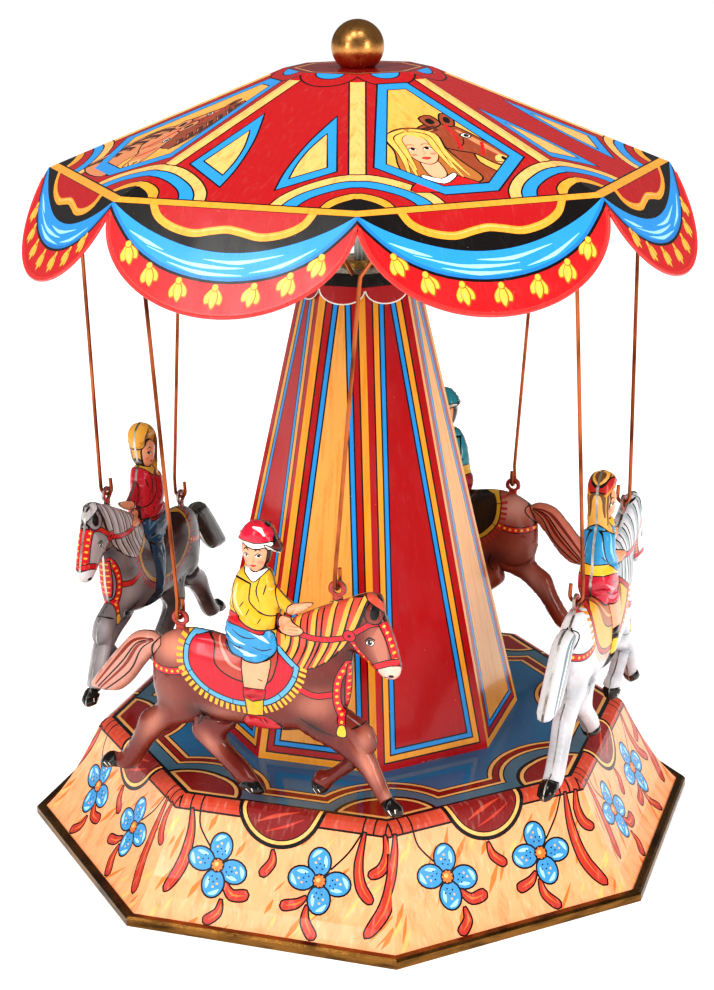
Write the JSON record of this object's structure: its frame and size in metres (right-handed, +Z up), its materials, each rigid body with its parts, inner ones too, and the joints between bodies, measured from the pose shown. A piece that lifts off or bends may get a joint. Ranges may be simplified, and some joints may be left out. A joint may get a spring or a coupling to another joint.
{
  "type": "wind up tin carousel toy",
  "caption": "Clockwork tin carousel: eight-sided base and tower, turning scalloped canopy, horses with riders hung on wire hooks, winding key.",
  "frame": {"origin": "centre of the base's underside, where the spindle's axis meets the floor", "axes": "+Z up along the spindle; X and Y pass through corners of the eight-sided base; the picture looks roughly along +Y"},
  "size_m": [0.248, 0.248, 0.29],
  "materials": {
    "litho_base": "glossy lithographed tinplate",
    "gilt_rim": "gold-lacquered rolled tin",
    "bare_tin": "bare tinplate",
    "litho_tower": "glossy lithographed tinplate",
    "litho_canopy": "glossy lithographed tinplate",
    "motor_steel": "satin",
    "motor_brass": "satin",
    "spring_steel": "blued",
    "key_steel": "nickel-plated, satin",
    "copper_wire": "copper-washed wire",
    "gilt_ball": "polished gilt",
    "litho_chestnut": "glossy lithographed tinplate",
    "litho_grey": "glossy lithographed tinplate",
    "litho_brown": "glossy lithographed tinplate",
    "litho_white": "glossy lithographed tinplate"
  },
  "bodies": {
    "root": {"base_shell": "litho_base", "base_rim": "gilt_rim", "base_plate": "bare_tin", "tower_shell": "litho_tower", "tower_cap": "litho_tower", "top_bush": "motor_brass", "motor_plate_front": "motor_steel", "motor_plate_rear": "motor_steel", "motor_pillars": "motor_steel", "step_bearing": "motor_steel", "mainspring": "spring_steel"},
    "great_wheel": {"great_wheel": "motor_brass", "click": "motor_steel", "click_spring": "spring_steel"},
    "key": {"winding_arbor": "motor_steel", "ratchet_wheel": "motor_steel", "winding_key": "key_steel"},
    "second": {"second_arbor": "motor_steel", "second_pinion": "motor_brass", "second_wheel": "motor_brass", "crown_wheel": "motor_brass"},
    "governor": {"governor_arbor": "motor_steel", "governor_pinion": "motor_brass", "governor_fan": "bare_tin"},
    "rotor": {"spindle": "motor_steel", "spindle_pinion": "motor_brass", "canopy_shell": "litho_canopy", "canopy_hub": "motor_brass", "hanger_eyes": "litho_canopy", "finial_ball": "gilt_ball"},
    "chestnut_hanger": {"chestnut_neck_rod": "copper_wire", "chestnut_rump_rod": "copper_wire"},
    "chestnut_horse": {"chestnut_outer_half": "litho_chestnut", "chestnut_inner_half": "litho_chestnut"},
    "grey_hanger": {"grey_neck_rod": "copper_wire", "grey_rump_rod": "copper_wire"},
    "grey_horse": {"grey_outer_half": "litho_grey", "grey_inner_half": "litho_grey"},
    "brown_hanger": {"brown_neck_rod": "copper_wire", "brown_rump_rod": "copper_wire"},
    "brown_horse": {"brown_outer_half": "litho_brown", "brown_inner_half": "litho_brown"},
    "white_hanger": {"white_neck_rod": "copper_wire", "white_rump_rod": "copper_wire"},
    "white_horse": {"white_outer_half": "litho_white", "white_inner_half": "litho_white"}
  },
  "joints": [
    {"name": "canopy_spin", "type": "hinge", "parent": "root", "child": "rotor", "pos_m": [0, 0, 0.04], "axis": [0, 0, 1], "continuous": true},
    {"name": "second_turn", "type": "hinge", "parent": "root", "child": "second", "pos_m": [0, 0, 0.036], "axis": [-0.3827, 0.9239, 0], "continuous": true},
    {"name": "great_turn", "type": "hinge", "parent": "root", "child": "great_wheel", "pos_m": [0, 0, 0.018], "axis": [-0.3827, 0.9239, 0], "continuous": true},
    {"name": "governor_turn", "type": "hinge", "parent": "root", "child": "governor", "pos_m": [-0.0112, -0.00464, 0.043], "axis": [-0.3827, 0.9239, 0], "continuous": true},
    {"name": "key_wind", "type": "hinge", "parent": "great_wheel", "child": "key", "pos_m": [0, 0, 0.018], "axis": [-0.3827, 0.9239, 0], "continuous": true},
    {"name": "chestnut_swing", "type": "hinge", "parent": "rotor", "child": "chestnut_hanger", "pos_m": [-0.0411, -0.07963, 0.23585], "axis": [-0.8886, 0.4587, 0], "range_deg": [-5, 20]},
    {"name": "chestnut_tilt", "type": "hinge", "parent": "chestnut_hanger", "child": "chestnut_horse", "pos_m": [-0.06598, -0.06679, 0.1022], "axis": [-0.8474, 0.4374, -0.3011], "range_deg": [-12, 12]},
    {"name": "grey_swing", "type": "hinge", "parent": "rotor", "child": "grey_hanger", "pos_m": [-0.07963, 0.0411, 0.23585], "axis": [0.4587, 0.8886, 0], "range_deg": [-5, 20]},
    {"name": "grey_tilt", "type": "hinge", "parent": "grey_hanger", "child": "grey_horse", "pos_m": [-0.06679, 0.06598, 0.1022], "axis": [0.4374, 0.8474, -0.3011], "range_deg": [-12, 12]},
    {"name": "brown_swing", "type": "hinge", "parent": "rotor", "child": "brown_hanger", "pos_m": [0.0411, 0.07963, 0.23585], "axis": [0.8886, -0.4587, 0], "range_deg": [-5, 20]},
    {"name": "brown_tilt", "type": "hinge", "parent": "brown_hanger", "child": "brown_horse", "pos_m": [0.06598, 0.06679, 0.1022], "axis": [0.8474, -0.4374, -0.3011], "range_deg": [-12, 12]},
    {"name": "white_swing", "type": "hinge", "parent": "rotor", "child": "white_hanger", "pos_m": [0.07963, -0.0411, 0.23585], "axis": [-0.4587, -0.8886, 0], "range_deg": [-5, 20]},
    {"name": "white_tilt", "type": "hinge", "parent": "white_hanger", "child": "white_horse", "pos_m": [0.06679, -0.06598, 0.1022], "axis": [-0.4374, -0.8474, -0.3011], "range_deg": [-12, 12]}
  ],
  "couplings": [
    {"joint": "second_turn", "follows": "canopy_spin", "ratio": -0.33333},
    {"joint": "great_turn", "follows": "canopy_spin", "ratio": 0.083333},
    {"joint": "governor_turn", "follows": "canopy_spin", "ratio": 2}
  ]
}
